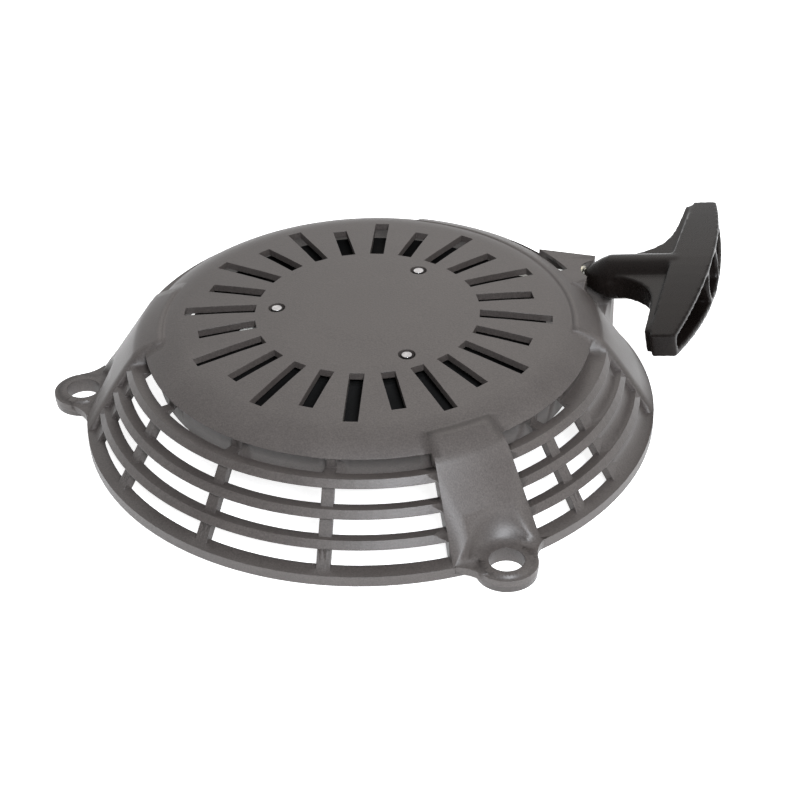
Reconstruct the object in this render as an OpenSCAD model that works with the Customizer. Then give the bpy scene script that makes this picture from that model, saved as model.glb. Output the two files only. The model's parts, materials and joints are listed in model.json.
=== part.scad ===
// Recoil (rope) starter for a small vertical-shaft engine. Millimetres, +Z up.
// The origin is on the crankshaft axis, in the plane that the three bolt feet stand on.
// +X is the direction in which the rope leaves the case, seen from above.

/* [Case] */
// Outer radius of the mounting flange
flange_r = 95; // [88:0.5:120]
// Height of the middle of the dome above the feet
case_h = 40.1; // [38:0.1:55]
// Radius of the dome's rim
dome_r = 73.6; // [72:0.2:80]
// How far the rim's lower edge lies below the middle of the dome
rim_drop = 8.2; // [6.5:0.1:10]
// Wall of the dome
wall = 2.4; // [1.8:0.1:3]
// Thickness of the flange plate
flange_t = 3.5; // [2.5:0.1:5]
// How far the feet stand below the flange plate
foot_drop = 0.6; // [0.4:0.1:2]
// Thickness of a louvre ring, top to bottom
ring_t = 1.8; // [1.2:0.1:2.4]
// Width of the slanted side wall, measured level
shell_w = 4.3; // [3:0.1:5.5]
// Width of the ribs that carry the louvre rings
rib_w = 4; // [3:0.1:6]

/* [Ears] */
// How far the bolt circle lies outside the flange
ear_reach = 3.5; // [1:0.5:6]
// Radius of a bolt hole
ear_hole_r = 5.6; // [3:0.1:7]
// Radius of the round end of an ear
ear_r = 9.8; // [8:0.1:14]
// Angle of the first ear
ear_az = -49; // [-55:1:-45]

/* [Air slots] */
// Inner end of the slots
slot_in_r = 37; // [33:0.5:42]
// Outer end of the long slots
slot_long_r = 60.8; // [50:0.2:66]
// Outer end of the short slots
slot_short_r = 55.9; // [46:0.2:62]
// Width of a slot
slot_w = 4.7; // [3:0.1:6]

/* [Rope] */
// Diameter of the rope
rope_d = 4; // [3:0.1:5]
// Number of turns of rope on the reel
rope_turns = 5; // [3:1:5]
// Height of the rope groove above the feet
rope_z = 28.4; // [26:0.1:30]
// Upward tilt of the pull direction, in degrees
pull_tilt = 9; // [0:0.5:12]

/* [Reel and spring] */
// How far the reel's flanges stand out past the rope
reel_lip = 3; // [1:0.5:4]
// Width of the spring strip
spring_w = 11; // [8:0.5:12]
// Radius of the spring chamber
chamber_r = 33; // [28:0.5:34]
// Radius of the post that the reel runs on
post_r = 6; // [4.5:0.1:7.5]

/* [Grip] */
// Length of the grip's bar
bar_len = 91; // [75:1:115]
// Radius of the grip's stem
stem_r = 7.7; // [6:0.1:10]
// Height of the bar's ends
bar_end_h = 8; // [6:0.5:10]
// Wall of the hollow bar
grip_wall = 1.9; // [1.5:0.1:3]

/* [Hidden] */
$fn = 96;
eps = 0.01;

// Clearances
run_gap = 0.05;
side_gap = 0.3;

// Colours
case_grey = [0.23, 0.225, 0.22];
grip_black = [0.10, 0.09, 0.085];
reel_black = [0.13, 0.13, 0.13];
steel = [0.62, 0.63, 0.65];
zinc = [0.72, 0.70, 0.62];
rope_white = [0.80, 0.79, 0.75];
pawl_grey = [0.45, 0.45, 0.47];

// ---- case: the dome's curve ----
dome_sphere_r = 620;
rim_round_r = 25;
rim_edge = 0.3;
rim_z = case_h - rim_drop;
round_start_r = dome_r - 12.6;
round_start_a = asin(round_start_r / dome_sphere_r);
round_c_r = round_start_r - rim_round_r * sin(round_start_a);
// The rounding is scaled in height so that it ends just above the rim's lower edge.
round_end_a = asin((dome_r - round_c_r) / rim_round_r);
flat_fall = round_start_r * round_start_r / (2 * dome_sphere_r);
round_fall = rim_round_r * (cos(round_start_a) - cos(round_end_a));
round_scale = (rim_drop - rim_edge - flat_fall) / round_fall;
dome_steps = 7;
function dome_z(r) = r <= round_start_r ? case_h - r * r / (2 * dome_sphere_r)
    : case_h - flat_fall - round_scale * (rim_round_r * cos(round_start_a)
        - sqrt(pow(rim_round_r, 2) - pow(r - round_c_r, 2)));
dome_curve = concat(
    [for (i = [0:3]) let (r = round_start_r * i / 4) [r, dome_z(r)]],
    [for (i = [0:dome_steps]) let (r = round_start_r + (dome_r - round_start_r) * i / dome_steps)
        [r, dome_z(r)]]);

// ---- case: the slanted side and its louvres ----
flange_top = foot_drop + flange_t;
tread_rise = 0.6;
ring_count = 3;
rim_gap = 4.1;
cone_top_r = dome_r + 3;
cone_slope = (flange_r - cone_top_r) / (rim_z - flange_top);
function cone_r(z) = flange_r - cone_slope * (z - flange_top);
// Treads are numbered from the top: 0 is the first ring, ring_count is the flange.
tread_first = rim_z - rim_gap;
tread_last = flange_top + tread_rise;
function tread_z(i) = tread_first - (tread_first - tread_last) * i / ring_count;
function tread_in_r(i) = cone_r(tread_z(i)) - shell_w;
recess = 2.2;
shoulder_z = rim_z - 2;
fence_r = 70;
fence_in_r = 67.8;
fence_z = 21.1;
pad_land_r = dome_r - 6.1;

// Bays between the solid pads: start angle, centre angles of the ribs, end angle,
// then the closed lengths at the start and at the end.
bays = [[205.4, [226.7, 251.8, 277.3], 301.5, 4.4, 0],
    [319.7, [331.7], 368.4, 0, 25.3],
    [91.4, [112.5, 133.6, 154.7], 175.8, 0, 0]];
pads = [[301.5, 319.7], [8.4, 91.4], [175.8, 205.4]];
rib_half = asin(rib_w / 2 / (flange_r - 10));

// Ears
ear_count = 3;
ear_ring_r = flange_r + ear_reach;
ear_fillet = 12;
ear_plate_z = 1.9;
ear_top = flange_top + 0.4;
ear_seat_r = ear_hole_r + 2.7;
ear_seat_h = 0.5;
socket_r = ear_r + 1.7;
socket_wall = 2;
liner_top_z = flange_top + 12;

// ---- rope line: level from the reel to the guide, then tilted up along the pull direction ----
rope_r = rope_d / 2;
groove_gap = 0.3;
groove_h = rope_d + 2 * groove_gap;
rope_pitch = rope_d - 0.1;
// The reel's drum stands round the spring chamber, and the rope leaves from its outermost turn.
drum_wall = 3;
drum_r = chamber_r + drum_wall;
rope_line_y = drum_r + 0.4 + rope_r + rope_pitch * (rope_turns - 1);
reel_r = rope_line_y + rope_r + reel_lip;
bend_x = 58;
nose_s = 4.4;
grip_centre_s = nose_s + 28.2;
reel_flange_t = 1.8;

// Rope outlet of the case
outlet_far_y = rope_line_y + 8.5;
outlet_near_y = rope_line_y - 10.5;
outlet_lip_x = bend_x + 6;
outlet_end_x = bend_x + 13.2;
outlet_top_z = rope_z + 4.5;
roof_t = 1.4;
outlet_wall = 2.2;
guide_wall_s = 1.2;
guide_r = rope_r + 1.3;
guide_lip_r = guide_r + 0.7;
mouth_r = guide_r + 1;
roof_slot_w = 2.9;

// ---- reel ----
groove_z0 = rope_z - groove_h / 2;
groove_z1 = rope_z + groove_h / 2;
spring_z1 = rope_z + 4.7;
spring_z0 = spring_z1 - spring_w;
chamber_floor = spring_z0 - side_gap;
reel_plate_t = 2.2;
reel_bottom = chamber_floor - reel_plate_t;
cover_z = spring_z1 + side_gap;
cover_t = 0.6;
reel_top = cover_z + cover_t + 0.2;
hub_r = post_r + 4;
hub_len = 4.8;
hub_bottom = reel_bottom - hub_len;
arbor_r = post_r + 3;
tang_gap = 0.5;

// ---- spindle plate ----
plate_r = chamber_r + 1;
plate_t = 1.2;
plate_z = reel_top + 0.8;
plate_seat_z = plate_z + plate_t;
peg_ring_r = 30;
peg_r = 1.3;
peg_hole_r = 2.8;

// ---- ratchet ----
pawl_pivot_r = hub_r + 11;
pawl_pin_r = 2.6;
pawl_eye_r = 5;
pawl_t = 2.6;
pawl_len = 18;
pawl_z1 = reel_bottom - 1.8;
pawl_z0 = pawl_z1 - pawl_t;
pawl_swing = 24;
cam_pin_r = 1.4;
cam_pin_at = [1.5, -9];
guide_turn = 34;
cam_gap = 0.25;
guide_t = 2;
post_bottom = hub_bottom - 0.4;
guide_z1 = post_bottom - 0.2;
guide_z0 = guide_z1 - guide_t;
collar_r = 4.5;
washer_z1 = guide_z0 - 0.6;
washer_t = 0.6;
washer_r = 8.5;
washer_z0 = washer_z1 - washer_t;
screw_r = 3;
screw_len = 12;
hex_r = 5.75;
hex_h = 3.2;

// ---- grip ----
bar_in_p = 2.5;
bar_mid_p = 16.5;
bar_end_p = 10.6;
bar_mid_h = 2 * stem_r - 0.6;
nose_len = 9;
web_t = 8.6;
grip_bore_r = rope_r + 0.35;
nose_tip_r = grip_bore_r + 0.55;
knot_room_r = 8.2;
knot_floor_p = 4.5;
knot_r = rope_d * 1.15;
insert_t = 1;
insert_r = knot_room_r - 2.4;

// ================= shared shapes =================

// A sector of a body of revolution, from angle a0 to angle a1
module sector(a0, a1) rotate([0, 0, a0]) rotate_extrude(angle = a1 - a0) children();

// A flat ring between two radii and two heights
module tube(r_out, r_in, z0, z1) translate([0, 0, z0]) difference() {
    cylinder(r = r_out, h = z1 - z0);
    translate([0, 0, -1]) cylinder(r = r_in, h = z1 - z0 + 2);
}

// Puts its children on the pull line: x runs along the rope, from where it bends in the guide
module on_pull_line(s = 0) translate([bend_x, rope_line_y, rope_z]) rotate([0, -pull_tilt, 0])
    translate([s, 0, 0]) children();

module along_x() rotate([0, 90, 0]) children();

module at_ears() for (i = [0:ear_count - 1]) rotate([0, 0, ear_az + 120 * i])
    translate([ear_ring_r, 0, 0]) children();

// ================= case =================

module dome_section() polygon(concat(dome_curve,
    [[dome_r, rim_z], [fence_r - 0.4, rim_z], [fence_in_r + 0.5, dome_z(fence_in_r + 0.5) - wall]],
    [for (i = [4:-1:0]) let (r = round_start_r * i / 4) [r, dome_z(r) - wall]]));

module flange_section() polygon([
    [tread_in_r(ring_count), foot_drop], [flange_r + 0.3, foot_drop], [flange_r + 0.3, flange_top],
    [tread_in_r(ring_count), tread_last]]);

module louvre_section(i) {
    z = tread_z(i);
    polygon([[tread_in_r(i), z - ring_t], [cone_r(z - ring_t) - 0.15, z - ring_t],
        [cone_r(z + tread_rise) - 0.15, z + tread_rise], [tread_in_r(i), z]]);
}

module louvres_section() {
    flange_section();
    for (i = [0:ring_count - 1]) louvre_section(i);
}

// The wall behind the louvres, and its turn in to the dome
module rib_section() polygon([
    [cone_r(foot_drop + 2) - recess, foot_drop + 2], [cone_r(tread_first + 0.2) - recess, tread_first + 0.2],
    [fence_r + 2.4, tread_first + 0.2], [fence_r + 2.4, rim_z + 0.4], [fence_in_r + 1, rim_z + 0.7],
    [fence_in_r + 1, rim_z - 2], [tread_in_r(0) + 0.3, tread_first - ring_t - 0.5],
    [tread_in_r(ring_count) + 0.4, foot_drop + 2]]);

pad_t = shell_w + 1.5;
module pad_section() {
    polygon([[cone_r(flange_top - 0.1), flange_top - 0.1], [cone_r(shoulder_z), shoulder_z],
        [cone_r(shoulder_z) - pad_t, shoulder_z], [cone_r(flange_top + 3) - pad_t, flange_top + 3],
        [tread_in_r(ring_count) - 0.5, foot_drop + 1.6], [flange_r - 1.4, foot_drop + 1.6]]);
    shoulder_section();
}

// Solid pads rise along the cone and turn over into the dome.
shoulder_steps = 7;
shoulder_from = [cone_r(shoulder_z), shoulder_z];
shoulder_knee = [cone_r(rim_z + 0.3), rim_z + 0.3];
shoulder_to = [pad_land_r, dome_z(pad_land_r) + 0.02];
function blend_point(t) = (1 - t) * (1 - t) * shoulder_from + 2 * t * (1 - t) * shoulder_knee
    + t * t * shoulder_to;
module shoulder_section() polygon(concat(
    [for (i = [0:shoulder_steps]) blend_point(i / shoulder_steps)],
    [[pad_land_r, dome_z(pad_land_r) - wall / 2], [fence_in_r + 1, rim_z - 2.3],
     [cone_r(shoulder_z) - pad_t, shoulder_z]]));

module bay_ribs(b) {
    for (a = b[1]) sector(a - rib_half, a + rib_half) rib_section();
    if (b[3] > 0) sector(b[0] - 1, b[0] + b[3]) rib_section();
    if (b[4] > 0) sector(b[2] - b[4], b[2] + 1) rib_section();
}

module ear_plan() {
    d = ear_ring_r;
    a = flange_r + ear_fillet;
    b = ear_r + ear_fillet;
    x = (a * a - b * b + d * d) / (2 * d);
    y = sqrt(a * a - x * x);
    difference() {
        polygon([[flange_r - 6, -y * 0.6], [x, -y], [d, 0], [x, y], [flange_r - 6, y * 0.6]]);
        for (s = [-1, 1]) translate([x, s * y]) circle(r = ear_fillet);
    }
}

module ear_solid() {
    translate([-ear_ring_r, 0, ear_plate_z]) linear_extrude(ear_top - ear_plate_z) ear_plan();
    translate([0, 0, ear_plate_z + 0.3]) cylinder(r = ear_r, h = ear_top - ear_plate_z - 0.4);
    cylinder(r = ear_r - 0.3, h = ear_top - 0.2);
    translate([0, 0, 1]) cylinder(r = ear_seat_r, h = ear_top + ear_seat_h - 1);
}

// Thick wall behind the room for a socket spanner
liner_in_r = ear_ring_r - socket_r - socket_wall;
module socket_liner() for (i = [0:ear_count - 1]) sector(ear_az + 120 * i - 8.2, ear_az + 120 * i + 8.2)
    polygon([[liner_in_r, foot_drop + 1], [flange_r - 2, foot_drop + 1],
        [cone_r(liner_top_z) - 1, liner_top_z], [liner_in_r, liner_top_z]]);

module outlet_side() polygon([[30, flange_top - 0.9], [outlet_end_x, flange_top - 0.9],
    [outlet_end_x, rope_z - 6.7], [outlet_lip_x, rope_z - 2.4], [outlet_lip_x, outlet_top_z],
    [30, outlet_top_z]]);

module outlet_solid() difference() {
    translate([0, outlet_far_y, 0]) rotate([90, 0, 0])
        linear_extrude(outlet_far_y - outlet_near_y) outlet_side();
    cylinder(r = fence_r - 1, h = case_h);
}

module outlet_room() difference() {
    translate([20, outlet_near_y + outlet_wall, -1])
        cube([outlet_end_x - outlet_wall - 20, outlet_far_y - outlet_near_y - 2 * outlet_wall,
            outlet_top_z - roof_t + 1]);
    cylinder(r = fence_r + 1.7, h = fence_z + 0.7);
    // the wall that carries the rope guide, and the floor under the grip's nose
    on_pull_line(guide_wall_s) translate([0, -20, -40]) cube([outlet_wall, 40, 60]);
    translate([outlet_lip_x - 4, outlet_near_y, rope_z - 10]) cube([20, 30, 20]);
}

// The grip's nose rests in a flared mouth.
module outlet_mouth() {
    on_pull_line(guide_wall_s + outlet_wall) along_x() cylinder(r1 = mouth_r, r2 = stem_r + 1.7, h = 6.6);
    on_pull_line(guide_wall_s + outlet_wall + 6.5) along_x() cylinder(r = stem_r + 1.7, h = 12);
}

// The outlet's roof stands clear of the dome's rim along a slot.
module roof_slot() sector(42.5, 63.5) polygon([[dome_r - 0.15, fence_z + 0.4],
    [dome_r + roof_slot_w, fence_z + 0.4], [dome_r + roof_slot_w, case_h], [dome_r - 0.15, case_h]]);

module air_slot(r1) translate([slot_in_r, -slot_w / 2, rim_z]) cube([r1 - slot_in_r, slot_w, case_h]);

module case() color(case_grey) difference() {
    union() {
        rotate_extrude() dome_section();
        rotate_extrude() louvres_section();
        for (p = pads) sector(p[0], p[1]) pad_section();
        for (b = bays) bay_ribs(b);
        socket_liner();
        outlet_solid();
        tube(fence_r, fence_in_r, fence_z, dome_z(fence_r) - wall / 2);
        translate([0, 0, plate_seat_z]) cylinder(r = plate_r + 0.5, h = dome_z(plate_r) - wall / 2 - plate_seat_z);
        at_ears() ear_solid();
    }
    at_ears() {
        translate([0, 0, -1]) cylinder(r = ear_hole_r, h = flange_top + 5);
        translate([0, 0, ear_top + ear_seat_h]) cylinder(r = socket_r, h = case_h);
    }
    outlet_room();
    outlet_mouth();
    // the rope's way out through the fence, and the guide's seat
    translate([20, rope_line_y - rope_r - 1, rope_z - rope_r - 1]) cube([31, rope_d + 2, rope_d + 1.8]);
    on_pull_line(-2) along_x() cylinder(r = guide_r, h = 8);
    roof_slot();
    for (i = [0:11]) rotate([0, 0, 11.3 + 30 * i]) air_slot(slot_long_r);
    for (i = [0:11]) rotate([0, 0, 26.3 + 30 * i]) air_slot(slot_short_r);
    at_pegs() translate([0, 0, plate_seat_z - 1]) cylinder(r = peg_hole_r, h = case_h);
}

module at_pegs() for (i = [0:ear_count - 1]) rotate([0, 0, ear_az + 120 * i])
    translate([peg_ring_r, 0, 0]) children();

// ================= fixed centre =================

module rope_guide() color(zinc) on_pull_line(guide_wall_s) along_x() difference() {
    union() {
        translate([0, 0, -1]) cylinder(r = guide_r - 0.02, h = outlet_wall + 1);
        translate([0, 0, outlet_wall]) cylinder(r = guide_lip_r, h = 0.7);
    }
    rotate_extrude() polygon([[0, -2], [rope_r + 1.4, -2], [rope_r + 0.9, -0.6], [rope_r + 0.4, 0.5],
        [rope_r + 0.4, outlet_wall + 2], [0, outlet_wall + 2]]);
}

module spindle_plate() color(steel) {
    difference() {
        translate([0, 0, plate_z]) cylinder(r = plate_r, h = plate_t);
        translate([0, 0, plate_z - 1]) cylinder(r = post_r - 1.47, h = plate_t + 2);
    }
    // pegs that stand in the dome's three holes, with turned-over ends
    at_pegs() translate([0, 0, plate_z + 0.2]) {
        cylinder(r = peg_r, h = dome_z(peg_ring_r) - 0.5 - plate_z);
        translate([0, 0, dome_z(peg_ring_r) - 1 - plate_z]) cylinder(r = peg_r + 0.35, h = 0.7);
    }
}

module centre_post() color(steel) difference() {
    union() {
        translate([0, 0, chamber_floor + 0.2]) cylinder(r = arbor_r, h = plate_z - chamber_floor - 0.2);
        translate([0, 0, post_bottom]) cylinder(r = post_r, h = plate_z - post_bottom);
        translate([0, 0, plate_z]) cylinder(r = post_r - 1.5, h = plate_t);
    }
    translate([0, 0, post_bottom - 1]) cylinder(r = screw_r + run_gap, h = screw_len + 2);
    rotate([0, 0, spring_start_a]) translate([post_r - 1, -1, spring_z0 - 0.2]) cube([10, 2, spring_w + 0.4]);
}

module guide_collar() color(steel) tube(collar_r, screw_r + run_gap, washer_z1, post_bottom);

module friction_washer() color(zinc) tube(washer_r, screw_r + run_gap, washer_z0, washer_z1);

module centre_screw() color(zinc) {
    translate([0, 0, washer_z0 - hex_h]) cylinder(r = hex_r, h = hex_h, $fn = 6);
    translate([0, 0, washer_z0 - 0.9]) cylinder(r = hex_r + 1, h = 0.9);
    translate([0, 0, washer_z0 - 0.5]) cylinder(r = screw_r, h = post_bottom + screw_len - washer_z0);
}

// ================= reel =================

spring_t = 0.45;
spring_coils = 11;
spring_step = 18;
spring_start_a = 100;
spring_r0 = arbor_r + 1.2;
spring_r1 = chamber_r - 1.5;
spring_n = spring_coils * 360 / spring_step;
function spiral(k, off) = let (r = spring_r0 + (spring_r1 - spring_r0) * k / spring_n + off,
    a = spring_start_a + k * spring_step) [r * cos(a), r * sin(a)];
spring_end_a = spring_start_a + 360 * spring_coils;

module recoil_spring() color(steel) {
    translate([0, 0, spring_z0]) linear_extrude(spring_w) polygon(concat(
        [for (k = [0:spring_n]) spiral(k, -spring_t / 2)], [for (k = [spring_n:-1:0]) spiral(k, spring_t / 2)]));
    // tangs that hook the post and the chamber wall
    rotate([0, 0, spring_start_a]) translate([post_r + tang_gap, -spring_t, spring_z0 + 0.5])
        cube([spring_r0 - post_r - tang_gap, 2 * spring_t, spring_w - 1]);
    rotate([0, 0, spring_end_a]) translate([spring_r1, -spring_t, spring_z0 + 0.5])
        cube([chamber_r - spring_r1 + 1.2, 2 * spring_t, spring_w - 1]);
}

module spring_cover() color(steel) difference() {
    translate([0, 0, cover_z]) cylinder(r = chamber_r + 0.9, h = cover_t);
    translate([0, 0, cover_z - 1]) cylinder(r = arbor_r + 1, h = cover_t + 2);
}

module reel_section() polygon([
    [post_r + run_gap, hub_bottom], [hub_r, hub_bottom], [hub_r, reel_bottom], [drum_r, reel_bottom],
    [drum_r, groove_z0 - reel_flange_t], [reel_r, groove_z0 - reel_flange_t], [reel_r, groove_z0],
    [drum_r, groove_z0], [drum_r, groove_z1], [reel_r, groove_z1], [reel_r, groove_z1 + reel_flange_t],
    [drum_r, groove_z1 + reel_flange_t], [drum_r, reel_top], [chamber_r + 1, reel_top],
    [chamber_r + 1, cover_z], [chamber_r, cover_z], [chamber_r, chamber_floor],
    [post_r + run_gap, chamber_floor]]);

knot_a = 200;
knot_at_r = drum_r + rope_r + 1.5;

module reel() color(reel_black) difference() {
    union() {
        rotate_extrude() reel_section();
        for (i = [0, 1]) rotate([0, 0, 180 * i]) translate([pawl_pivot_r, 0, pawl_z0 - 0.2])
            cylinder(r = pawl_pin_r, h = reel_bottom - pawl_z0 + 0.3);
    }
    rotate([0, 0, spring_end_a]) translate([chamber_r - 1, -0.8, spring_z0 - 0.2])
        cube([2.6, 1.6, reel_top]);
    rotate([0, 0, knot_a]) translate([knot_at_r, 0, groove_z1 - 0.5])
        cylinder(r = rope_r + 0.2, h = reel_flange_t + 2);
}

module wound_rope() color(rope_white) rotate_extrude()
    for (i = [0:rope_turns - 1]) translate([rope_line_y - rope_pitch * i, rope_z]) circle(r = rope_r);

module reel_knot() color(rope_white) rotate([0, 0, knot_a]) translate([knot_at_r, 0, 0]) {
    translate([0, 0, groove_z1 - groove_gap + 0.05]) cylinder(r = rope_r, h = reel_flange_t + 1);
    translate([0, 0, groove_z1 + reel_flange_t + 0.1]) intersection() {
        translate([0, 0, 0.6]) sphere(r = rope_d * 0.8);
        cylinder(r = rope_d, h = 2.6);
    }
}

// ================= ratchet =================

// The pawl lies along -Y of its pivot and swings outwards.
module pawl_plan() {
    difference() {
        union() {
            circle(r = pawl_eye_r);
            polygon([[-pawl_eye_r, 0], [pawl_eye_r, 0], [5.4, -8], [4.6, -pawl_len], [0.6, -pawl_len],
                [-3.6, -11]]);
        }
        circle(r = pawl_pin_r + run_gap);
    }
}

module pawl() color(pawl_grey) translate([pawl_pivot_r, 0, 0]) {
    translate([0, 0, pawl_z0]) linear_extrude(pawl_t) pawl_plan();
    translate([cam_pin_at[0], cam_pin_at[1], guide_z0 - 0.1])
        cylinder(r = cam_pin_r, h = pawl_z0 - guide_z0 + 0.2);
}

module pawl_1() pawl();

module pawl_2() rotate([0, 0, 180]) pawl();

pawl_wire = 0.6;
module pawl_spring() color(steel) translate([pawl_pivot_r, 0, 0]) {
    tube(pawl_pin_r + 1, pawl_pin_r + 0.4, pawl_z1 + 0.2, pawl_z1 + 1.6);
    rotate([0, 0, 8]) translate([-pawl_pin_r - 0.9, -9, pawl_z1 + 1]) cube([pawl_wire, 9, pawl_wire]);
    rotate([0, 0, 12]) translate([pawl_pin_r + 0.4, -9, pawl_z1 + 0.2]) cube([pawl_wire, 9, pawl_wire]);
}

module pawl_spring_1() pawl_spring();

module pawl_spring_2() rotate([0, 0, 180]) pawl_spring();

// Path of a pawl's cam pin in the guide, as the guide turns and the pawl swings with it
cam_steps = 6;
function cam_point(t) = let (b = pawl_swing * t, g = -guide_turn * t,
    x = pawl_pivot_r + cam_pin_at[0] * cos(b) - cam_pin_at[1] * sin(b),
    y = cam_pin_at[0] * sin(b) + cam_pin_at[1] * cos(b)) [x * cos(g) - y * sin(g), x * sin(g) + y * cos(g)];

slot_half = cam_pin_r + cam_gap;
function cam_dir(t) = let (d = cam_point(t + 0.02) - cam_point(t - 0.02)) atan2(d[1], d[0]);
function around(t, a) = cam_point(t) + slot_half * [cos(cam_dir(t) + a), sin(cam_dir(t) + a)];
module cam_slot() polygon(concat(
    [for (k = [0:cam_steps]) around(k / cam_steps, -90)], [for (a = [-70:20:70]) around(1, a)],
    [for (k = [cam_steps:-1:0]) around(k / cam_steps, 90)], [for (a = [110:20:250]) around(0, a)]));

module ratchet_guide() color(zinc) translate([0, 0, guide_z0]) linear_extrude(guide_t) difference() {
    union() {
        circle(r = pawl_pivot_r - 6);
        for (i = [0, 1]) rotate(180 * i) intersection() {
            circle(r = pawl_pivot_r + 9.5);
            polygon([[0, 0], 60 * [cos(-8), sin(-8)], 60 * [cos(-36), sin(-36)], 60 * [cos(-64), sin(-64)]]);
        }
    }
    circle(r = collar_r + run_gap);
    for (i = [0, 1]) rotate(180 * i) cam_slot();
}

module friction_spring() color(steel) translate([0, 0, (washer_z1 + guide_z0) / 2]) {
    rotate_extrude(angle = 320) translate([washer_r - 1.6, 0]) circle(r = 0.25);
}

// ================= rope beyond the reel =================

lead_start_x = sqrt(pow(rope_line_y + rope_r + 0.4, 2) - pow(rope_line_y - rope_r, 2));

guide_mid_s = guide_wall_s + outlet_wall / 2;
lead_dx = bend_x + guide_mid_s * cos(pull_tilt) - lead_start_x;
lead_dz = guide_mid_s * sin(pull_tilt);

module rope_lead() color(rope_white) translate([lead_start_x, rope_line_y, rope_z])
    rotate([0, -atan2(lead_dz, lead_dx), 0]) along_x()
        cylinder(r = rope_r, h = norm([lead_dx, lead_dz]) + outlet_wall / 2 + 0.5);

module rope_tail() color(rope_white) on_pull_line(nose_s) along_x()
    cylinder(r = rope_r, h = grip_centre_s - nose_s + knot_floor_p + insert_t + 0.4);

module grip_knot() color(rope_white) on_pull_line(grip_centre_s + knot_floor_p + insert_t + 0.5)
    along_x() intersection() {
        translate([0, 0, knot_r * 0.72]) sphere(r = knot_r);
        cylinder(r = knot_r + 1, h = knot_r * 1.6);
    }

module grip_insert() color(steel) on_pull_line(grip_centre_s + knot_floor_p + 0.05) along_x() difference() {
    cylinder(r = insert_r, h = insert_t);
    translate([0, 0, -1]) cylinder(r = grip_bore_r, h = insert_t + 2);
}

// ================= grip =================

// In the grip's own axes: x along the pull, y along the bar, z across it; x = 0 at the bar's inner side.
bar_half = bar_len / 2;
pull_arc_r = (pow(bar_half, 2) + pow(bar_mid_p - bar_end_p, 2)) / (2 * (bar_mid_p - bar_end_p));
bar_steps = 8;
function bar_h(t) = bar_end_h / 2 + (bar_mid_h - bar_end_h) / 2 * (1 - pow(abs(t), 1.7));

module bar_plan(inset = 0) intersection() {
    translate([bar_in_p + inset, -bar_half + inset]) square([bar_mid_p, bar_len - 2 * inset]);
    translate([bar_mid_p - pull_arc_r, 0]) circle(r = pull_arc_r - (inset > 0 ? -3 : 0), $fn = 360);
}

module bar_side(inset = 0) polygon(concat(
    [for (k = [-bar_steps:bar_steps]) let (t = k / bar_steps) [t * (bar_half - inset), bar_h(t) - inset]],
    [for (k = [bar_steps:-1:-bar_steps]) let (t = k / bar_steps) [t * (bar_half - inset), inset - bar_h(t)]]));

module bar_body(inset = 0, p0 = 0) intersection() {
    translate([0, 0, -bar_mid_h]) linear_extrude(2 * bar_mid_h) bar_plan(inset);
    translate([p0, 0, 0]) rotate([90, 0, 90]) linear_extrude(3 * bar_mid_p) bar_side(inset);
}

// Webs that flare from the stem into the bar: how far back and how far out, as shares of the bar
web_back = [-16, -13, -10.4, -8, -5.7, -3.4, -1.6, -0.7, -0.1, 0.3];
web_out = [0.01, 0.02, 0.055, 0.095, 0.145, 0.22, 0.33, 0.46, 0.65, 0.93];
function web_point(k, side) = [web_back[k], side * (stem_r - 0.4 + web_out[k] * (bar_half - stem_r))];
module web_plan() polygon(concat([for (k = [0:9]) web_point(k, 1)], [[bar_in_p + 1, bar_half - 2]],
    [[bar_in_p + 1, 2 - bar_half]], [for (k = [9:-1:0]) web_point(k, -1)]));

module stem_section() polygon([[0, -28.2], [nose_tip_r, -28.2], [5.1, -25], [6.7, -22],
    [stem_r, -28.2 + nose_len], [stem_r, bar_in_p + 2], [0, bar_in_p + 2]]);

module grip() color(grip_black) on_pull_line(grip_centre_s) difference() {
    union() {
        bar_body();
        along_x() rotate_extrude() stem_section();
        intersection() {
            translate([0, 0, -web_t / 2]) linear_extrude(web_t) web_plan();
            rotate([90, 0, 90]) translate([0, 0, -30]) linear_extrude(60) bar_side(0.3);
        }
    }
    difference() {
        bar_body(grip_wall, bar_in_p + grip_wall);
        along_x() tube(knot_room_r + grip_wall, knot_room_r, 0, 30);
    }
    translate([knot_floor_p, 0, 0]) along_x() cylinder(r = knot_room_r - 2.2, h = 30);
    translate([-40, 0, 0]) along_x() cylinder(r = grip_bore_r, h = 60);
}

case();
rope_guide();
spindle_plate();
centre_post();
recoil_spring();
spring_cover();
reel();
wound_rope();
reel_knot();
pawl_1();
pawl_2();
pawl_spring_1();
pawl_spring_2();
ratchet_guide();
friction_spring();
guide_collar();
friction_washer();
centre_screw();
rope_lead();
rope_tail();
grip();
grip_insert();
grip_knot();
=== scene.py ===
"""Studio scene of the recoil starter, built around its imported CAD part."""

import json
import math

import bmesh
import bpy
from mathutils import Matrix, Vector


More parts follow.
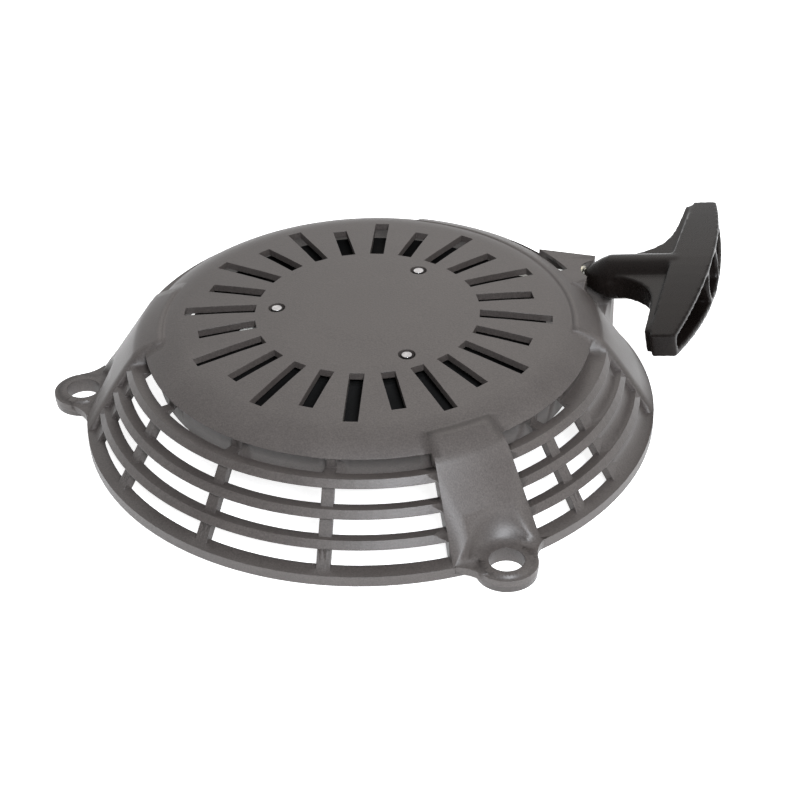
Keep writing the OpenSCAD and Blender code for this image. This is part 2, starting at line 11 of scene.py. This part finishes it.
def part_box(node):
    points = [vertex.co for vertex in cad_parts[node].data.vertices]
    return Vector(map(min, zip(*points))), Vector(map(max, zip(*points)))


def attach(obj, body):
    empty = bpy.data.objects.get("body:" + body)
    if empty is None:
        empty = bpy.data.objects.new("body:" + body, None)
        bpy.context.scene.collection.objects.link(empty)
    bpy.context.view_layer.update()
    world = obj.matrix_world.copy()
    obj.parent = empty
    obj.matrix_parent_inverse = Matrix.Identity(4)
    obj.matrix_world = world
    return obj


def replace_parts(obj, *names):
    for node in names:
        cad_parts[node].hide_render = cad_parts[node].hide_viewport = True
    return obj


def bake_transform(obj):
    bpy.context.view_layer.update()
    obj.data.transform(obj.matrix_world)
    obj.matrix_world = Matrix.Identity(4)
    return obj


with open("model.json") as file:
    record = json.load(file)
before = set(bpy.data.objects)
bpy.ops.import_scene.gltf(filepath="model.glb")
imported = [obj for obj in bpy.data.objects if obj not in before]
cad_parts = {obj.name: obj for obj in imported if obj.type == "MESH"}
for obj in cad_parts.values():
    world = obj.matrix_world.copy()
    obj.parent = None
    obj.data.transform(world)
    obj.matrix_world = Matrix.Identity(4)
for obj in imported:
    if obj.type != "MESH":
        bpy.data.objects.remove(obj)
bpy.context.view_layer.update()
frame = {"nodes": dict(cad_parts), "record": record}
record = frame["record"]
BODY = {n: b for b, nodes in record["behaviour"]["bodies"].items() for n in nodes}
SLOT = {s["node"]: s["material_slot"] for s in record["subparts"]}
MM = 0.001

# Rope
ROPE_R = 1.97 * MM
ROPE_TURNS = 5
TURN_PITCH = 3.9 * MM
TURN_STEPS = 72
STRANDS_ROUND = 8 * math.pi
STRANDS_ALONG = 3600.0


def middle(node):
    lo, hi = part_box(node)
    return (Vector(lo) + Vector(hi)) / 2


# ---------------------------------------------------------------- materials


def node(tree, kind, inputs=None, **settings):
    n = tree.nodes.new(kind)
    for key, value in settings.items():
        setattr(n, key, value)
    for key, value in (inputs or {}).items():
        if hasattr(value, "is_output"):
            tree.links.new(value, n.inputs[key])
        else:
            n.inputs[key].default_value = value
    return n


def speckle_group():
    """Fine moulded or cast grain: a mask and a height from object coordinates."""
    g = bpy.data.node_groups.new("grain", "ShaderNodeTree")
    g.interface.new_socket("Vector", in_out="INPUT", socket_type="NodeSocketVector")
    for name in ("Scale", "Patch"):
        g.interface.new_socket(name, in_out="INPUT", socket_type="NodeSocketFloat")
    for name in ("Fine", "Wide", "Mixed"):
        g.interface.new_socket(name, in_out="OUTPUT", socket_type="NodeSocketFloat")
    i, o = g.nodes.new("NodeGroupInput"), g.nodes.new("NodeGroupOutput")
    fine = node(g, "ShaderNodeTexNoise", {"Vector": i.outputs[0], "Scale": i.outputs[1], "Detail": 2.0})
    wide = node(g, "ShaderNodeTexNoise", {"Vector": i.outputs[0], "Scale": i.outputs[2], "Detail": 4.0})
    mixed = node(g, "ShaderNodeMath", {0: fine.outputs[0], 1: wide.outputs[0]}, operation="MULTIPLY")
    for k, n in enumerate((fine, wide, mixed)):
        g.links.new(n.outputs[0], o.inputs[k])
    return g


def braid_group():
    """Plaited strands on a rope whose UV runs along it (U) and round it (V)."""
    g = bpy.data.node_groups.new("braid", "ShaderNodeTree")
    g.interface.new_socket("Vector", in_out="INPUT", socket_type="NodeSocketVector")
    g.interface.new_socket("Height", in_out="OUTPUT", socket_type="NodeSocketFloat")
    g.interface.new_socket("Fleck", in_out="OUTPUT", socket_type="NodeSocketFloat")
    i, o = g.nodes.new("NodeGroupInput"), g.nodes.new("NodeGroupOutput")
    sep = node(g, "ShaderNodeSeparateXYZ", {0: i.outputs[0]})
    waves = []
    for sign in (1.0, -1.0):
        turn = node(g, "ShaderNodeMath", {0: sep.outputs[1], 1: sign * STRANDS_ROUND}, operation="MULTIPLY")
        along = node(g, "ShaderNodeMath", {0: sep.outputs[0], 1: STRANDS_ALONG, 2: turn.outputs[0]},
                     operation="MULTIPLY_ADD")
        wave = node(g, "ShaderNodeMath", {0: along.outputs[0]}, operation="SINE")
        waves.append(node(g, "ShaderNodeMath", {0: wave.outputs[0]}, operation="ABSOLUTE"))
    both = {0: waves[0].outputs[0], 1: waves[1].outputs[0]}
    high = node(g, "ShaderNodeMath", both, operation="MAXIMUM")
    fleck = node(g, "ShaderNodeMath", both, operation="GREATER_THAN")
    g.links.new(high.outputs[0], o.inputs[0])
    g.links.new(fleck.outputs[0], o.inputs[1])
    return g


GRAIN, BRAID = speckle_group(), braid_group()


def material(name, dark, light, rough, metallic=0.0, grain=1900.0, patch=45.0, bump=0.00003, edge=0.0003,
             specular=0.5, stretch=(1, 1, 1)):
    """A grained surface between two colours, with softly rounded edges."""
    m = bpy.data.materials.new(name)
    m.use_nodes = True
    t = m.node_tree
    t.nodes.clear()
    coord = node(t, "ShaderNodeTexCoord")
    place = node(t, "ShaderNodeMapping", {"Vector": coord.outputs["Object"], "Scale": stretch})
    g = node(t, "ShaderNodeGroup", node_tree=GRAIN)
    t.links.new(place.outputs[0], g.inputs["Vector"])
    g.inputs["Scale"].default_value = grain
    g.inputs["Patch"].default_value = patch
    tone = node(t, "ShaderNodeMapRange", {"Value": g.outputs["Wide"], "From Min": 0.3, "From Max": 0.7})
    mix = node(t, "ShaderNodeMix", {"Factor": tone.outputs[0]}, data_type="RGBA")
    mix.inputs[6].default_value = (*dark, 1)
    mix.inputs[7].default_value = (*light, 1)
    fleck = node(t, "ShaderNodeMapRange", {"Value": g.outputs["Fine"], "From Min": 0.25, "From Max": 0.75,
                                           "To Min": 0.72, "To Max": 1.28})
    shade = node(t, "ShaderNodeVectorMath", {0: mix.outputs[2], 1: fleck.outputs[0]}, operation="MULTIPLY")
    gloss = node(t, "ShaderNodeMapRange", {"Value": g.outputs["Mixed"], "From Min": 0.1, "From Max": 0.5,
                                           "To Min": rough - 0.06, "To Max": rough + 0.06})
    soft = node(t, "ShaderNodeBevel", {"Radius": edge}, samples=4)
    rise = node(t, "ShaderNodeBump", {"Height": g.outputs["Fine"], "Distance": bump, "Strength": 0.6,
                                      "Normal": soft.outputs[0]})
    b = node(t, "ShaderNodeBsdfPrincipled", {
        "Base Color": shade.outputs[0], "Roughness": gloss.outputs[0], "Metallic": metallic,
        "Normal": rise.outputs[0], "Specular IOR Level": specular})
    node(t, "ShaderNodeOutputMaterial", {"Surface": b.outputs[0]})
    return m


def rope_material():
    """White plaited rope, whose strands follow its UV."""
    m = bpy.data.materials.new("rope_braid")
    m.use_nodes = True
    t = m.node_tree
    t.nodes.clear()
    uv = node(t, "ShaderNodeUVMap", uv_map="UVMap")
    g = node(t, "ShaderNodeGroup", node_tree=BRAID)
    t.links.new(uv.outputs[0], g.inputs[0])
    mix = node(t, "ShaderNodeMix", {"Factor": g.outputs["Fleck"]}, data_type="RGBA")
    mix.inputs[6].default_value = (0.62, 0.61, 0.57, 1)
    mix.inputs[7].default_value = (0.74, 0.73, 0.69, 1)
    rise = node(t, "ShaderNodeBump", {"Height": g.outputs["Height"], "Distance": 0.0002, "Strength": 0.8})
    b = node(t, "ShaderNodeBsdfPrincipled", {
        "Base Color": mix.outputs[2], "Roughness": 0.8, "Sheen Weight": 0.2, "Normal": rise.outputs[0]})
    node(t, "ShaderNodeOutputMaterial", {"Surface": b.outputs[0]})
    return m


MATERIALS = {
    "case_plastic": material(
        "case_grey", (0.05, 0.043, 0.04), (0.063, 0.055, 0.051), 0.47, bump=0.00008, edge=0.0003),
    "grip_plastic": material(
        "grip_black", (0.004, 0.003, 0.0026), (0.007, 0.0052, 0.0045), 0.3, grain=1800.0,
        bump=0.00001, edge=0.0007, specular=0.14),
    "reel_plastic": material(
        "reel_black", (0.004, 0.004, 0.004), (0.006, 0.006, 0.006), 0.7, bump=0.00002, specular=0.06),
    "steel": material(
        "rolled_steel", (0.36, 0.36, 0.37), (0.5, 0.5, 0.5), 0.34, metallic=1.0, grain=900.0,
        stretch=(1, 1, 6), bump=0.00001, edge=0.00012),
    "spring_steel": material(
        "spring_steel", (0.16, 0.17, 0.2), (0.26, 0.27, 0.3), 0.28, metallic=1.0, grain=700.0,
        stretch=(1, 1, 8), bump=0.00001, edge=0.00008),
    "plated_steel": material(
        "plated_steel", (0.55, 0.52, 0.42), (0.66, 0.64, 0.56), 0.3, metallic=1.0, grain=500.0,
        bump=0.00001, edge=0.0002),
    "pawl_steel": material(
        "sintered_steel", (0.24, 0.24, 0.25), (0.32, 0.32, 0.33), 0.5, metallic=0.9, grain=3500.0,
        bump=0.00003, edge=0.0003),
    "rope": rope_material(),
}


# ---------------------------------------------------------------- pieces from the CAD nodes


def finish_piece(obj, slot, body=None):
    obj.data.materials.clear()
    obj.data.materials.append(MATERIALS[slot])
    if body:
        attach(obj, body)
    return obj


def new_object(name, mesh):
    obj = bpy.data.objects.new(name, mesh)
    bpy.context.scene.collection.objects.link(obj)
    return obj


def smooth_copy(name, angle=26):
    """The CAD node with its faces joined up, so that curved walls shade as one surface."""
    b = bmesh.new()
    b.from_mesh(frame["nodes"][name].data)
    bmesh.ops.remove_doubles(b, verts=b.verts, dist=2e-6)
    mesh = bpy.data.meshes.new(name + "_shape")
    b.to_mesh(mesh)
    b.free()
    mesh.shade_smooth()
    mesh.set_sharp_from_angle(angle=math.radians(angle))
    obj = finish_piece(new_object(name + "_shape", mesh), SLOT[name], BODY[name])
    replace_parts(obj, name)
    return obj


ROPES = ("wound_rope", "rope_lead", "rope_tail", "grip_knot", "reel_knot")
for name in SLOT:
    if name not in ROPES + ("grip",):
        smooth_copy(name)

# The grip's corners and webs flow into each other.
soft_grip = smooth_copy("grip", 180)
remesh = soft_grip.modifiers.new("even", "REMESH")
remesh.mode = "VOXEL"
remesh.voxel_size = 0.00045
remesh.use_smooth_shade = True
flow = soft_grip.modifiers.new("flow", "SMOOTH")
flow.factor = 0.5
flow.iterations = 10


# ---------------------------------------------------------------- rope


def tube(name, points, radius, body=None, around=16, closed=False):
    """A round rope along a line of points, its UV in metres along it and turns round it."""
    b = bmesh.new()
    layer = b.loops.layers.uv.new("UVMap")
    rings, lengths, run = [], [], 0.0
    count = len(points)
    side = Vector((0, 0, 1))
    for k, p in enumerate(points):
        a, c = points[max(k - 1, 0)], points[min(k + 1, count - 1)]
        if closed:
            a, c = points[k - 1], points[(k + 1) % count]
        forward = (c - a).normalized()
        side = (side - forward * side.dot(forward)).normalized()
        other = forward.cross(side)
        if k:
            run += (p - points[k - 1]).length
        lengths.append(run)
        rings.append([b.verts.new(p + radius * (math.cos(t) * side + math.sin(t) * other))
                      for t in (2 * math.pi * j / around for j in range(around))])
    spans = [(k, k + 1) for k in range(count - 1)] + ([(count - 1, 0)] if closed else [])
    for k0, k1 in spans:
        u0, u1 = lengths[k0], lengths[k1] if k1 else run + (points[0] - points[-1]).length
        for j in range(around):
            j1 = (j + 1) % around
            face = b.faces.new((rings[k0][j], rings[k0][j1], rings[k1][j1], rings[k1][j]))
            face.smooth = True
            for loop, u, v in zip(face.loops, (u0, u0, u1, u1), (j, j + 1, j + 1, j)):
                loop[layer].uv = (u, v / around)
    if not closed:
        b.faces.new(list(reversed(rings[0])))
        b.faces.new(rings[-1])
    bmesh.ops.recalc_face_normals(b, faces=b.faces)
    mesh = bpy.data.meshes.new(name)
    b.to_mesh(mesh)
    b.free()
    obj = new_object(name, mesh)
    return finish_piece(obj, "rope", body)


def line(a, b, n):
    return [a.lerp(b, k / (n - 1)) for k in range(n)]


pull = next(j for j in record["behaviour"]["joints"] if j["name"] == "grip_pull")
along = Vector(pull["axis"]).normalized()

# The coil is one flat spiral, as on the real reel.
lo, hi = (Vector(c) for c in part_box("wound_rope"))
level = (lo.z + hi.z) / 2
outer = hi.x - 2 * MM
coil = []
for k in range(ROPE_TURNS * TURN_STEPS - 8):
    a = math.radians(90) + 2 * math.pi * k / TURN_STEPS
    r = outer - TURN_PITCH * max(0.0, k / TURN_STEPS - 0.5)
    r = max(r, outer - TURN_PITCH * (ROPE_TURNS - 1))
    coil.append(Vector((r * math.cos(a), r * math.sin(a), level)))
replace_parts(tube("rope_coil", coil, ROPE_R, "reel", around=14), "wound_rope")

lo, hi = (Vector(c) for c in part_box("rope_lead"))
line_y = (lo.y + hi.y) / 2
lead_a = Vector((lo.x, line_y, lo.z + 2 * MM))
lead_b = Vector((hi.x, line_y, hi.z - 2 * MM))
lead_line = line(lead_a + 0.1 * MM * along, lead_b - 0.1 * MM * along, 24)
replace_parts(tube("rope_run", lead_line, ROPE_R, "housing"), "rope_lead")

lo, hi = (Vector(c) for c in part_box("rope_tail"))
cross = 2 * MM * math.sqrt(1 - along.x ** 2)
tail_a = Vector((lo.x + cross, line_y, lo.z + 2 * MM * along.x))
tail_b = Vector((hi.x - cross, line_y, hi.z - 2 * MM * along.x))
tail_line = line(tail_a + 4 * MM * along, tail_b, 24)
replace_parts(tube("rope_in_grip", tail_line, ROPE_R, "grip"), "rope_tail")

# This short length of rope runs from the case out towards the grip; it rides on no body.
free_line = line(tail_a - 1.8 * MM * along, tail_a + 4.2 * MM * along, 60)
free = tube("rope_stretch", free_line, ROPE_R * 0.99)
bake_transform(free)


def knot(name, target, axis, size, body):
    """A trefoil-shaped overhand knot pulled tight, centred in its CAD ball."""
    z = axis.normalized()
    x = z.orthogonal().normalized()
    y = z.cross(x)
    centre = middle(target)
    points = []
    for k in range(96):
        t = 2 * math.pi * k / 96
        across = math.sin(t) + 2 * math.sin(2 * t)
        out = math.cos(t) - 2 * math.cos(2 * t)
        rise = -1.6 * math.sin(3 * t)
        points.append(centre + size * (x * across + y * out + z * rise))
    obj = tube(name, points, ROPE_R * 0.82, body, around=12, closed=True)
    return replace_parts(obj, target)


knot("knot_in_grip", "grip_knot", along, 0.95 * MM, "grip")
knot("knot_on_reel", "reel_knot", Vector((0, 0, 1)), 0.55 * MM, "reel")


# ---------------------------------------------------------------- camera, light and floor

view_back = Vector((0.2328, -0.7911, 0.5657)).normalized()
view_right = Vector((0.9593, 0.2823, 0.0))
roll = math.radians(1.48)
level_up = view_back.cross(view_right).normalized()
right = math.cos(roll) * view_right - math.sin(roll) * level_up
up = view_back.cross(right).normalized()
camera_data = bpy.data.cameras.new("camera")
camera_data.sensor_width = 36
camera_data.lens = 93.825
camera_data.clip_start = 0.01
camera = bpy.data.objects.new("camera", camera_data)
turn = Matrix((right, up, view_back)).transposed().to_4x4()
camera.matrix_world = Matrix.Translation(Vector((0.1739, -0.5556, 0.4024))) @ turn
bpy.context.scene.collection.objects.link(camera)
bpy.context.scene.camera = camera


def area_light(name, at, aim, size, power, colour=(1, 1, 1)):
    data = bpy.data.lights.new(name, "AREA")
    data.shape = "DISK"
    data.size = size
    data.energy = power
    data.color = colour
    obj = bpy.data.objects.new(name, data)
    obj.location = at
    obj.rotation_euler = (Vector(aim) - Vector(at)).to_track_quat("-Z", "Y").to_euler()
    bpy.context.scene.collection.objects.link(obj)


area_light("key", (0.4, -0.72, 0.7), (0, -0.03, 0.02), 0.3, 15.0, (0.92, 0.95, 1.0))
area_light("back", (-0.1, 0.8, 0.7), (0, 0, 0.03), 0.8, 1.2, (1.0, 0.92, 0.86))
area_light("strip", (0.06, -0.1, 0.9), (0.08, 0.05, 0.03), 0.12, 0.2, (1.0, 0.96, 0.92))
area_light("side", (0.75, 0.1, 0.5), (0.06, 0.03, 0.03), 0.3, 1.2, (1.0, 0.97, 0.93))

# The studio is bright behind the object and overhead, and dim on the camera's side.
world = bpy.data.worlds.new("world")
world.use_nodes = True
wt = world.node_tree
ground = wt.nodes["Background"]
coord = node(wt, "ShaderNodeTexCoord")
facing = node(wt, "ShaderNodeVectorMath", {0: coord.outputs["Generated"], 1: (-0.23, 0.8, 0.35)},
              operation="DOT_PRODUCT")
glow = node(wt, "ShaderNodeMapRange", {"Value": facing.outputs["Value"], "From Min": -0.4, "From Max": 0.7,
                                       "To Min": 0.12, "To Max": 0.85})
wt.links.new(glow.outputs[0], ground.inputs["Strength"])
ground.inputs["Color"].default_value = (1, 1, 1, 1)
bpy.context.scene.world = world

b = bmesh.new()
bmesh.ops.create_grid(b, x_segments=1, y_segments=1, size=6)
bmesh.ops.translate(b, verts=b.verts, vec=(0, 0, -0.0002))
mesh = bpy.data.meshes.new("floor")
b.to_mesh(mesh)
b.free()
floor = new_object("floor", mesh)
m = bpy.data.materials.new("floor_white")
m.use_nodes = True
p = m.node_tree.nodes["Principled BSDF"]
coord = node(m.node_tree, "ShaderNodeTexCoord")
cloud = node(m.node_tree, "ShaderNodeTexNoise", {"Vector": coord.outputs["Object"], "Scale": 3.0})
pale = node(m.node_tree, "ShaderNodeMapRange", {"Value": cloud.outputs[0], "To Min": 0.9, "To Max": 0.94})
m.node_tree.links.new(pale.outputs[0], p.inputs["Base Color"])
p.inputs["Roughness"].default_value = 0.9
p.inputs["Specular IOR Level"].default_value = 0.0
p.inputs["Emission Color"].default_value = (1, 1, 1, 1)
p.inputs["Emission Strength"].default_value = 0.85
floor.data.materials.append(m)

scene = bpy.context.scene
scene.view_settings.view_transform = "Standard"
scene.view_settings.look = "None"
scene.cycles.max_bounces = 8
scene.cycles.use_denoising = True
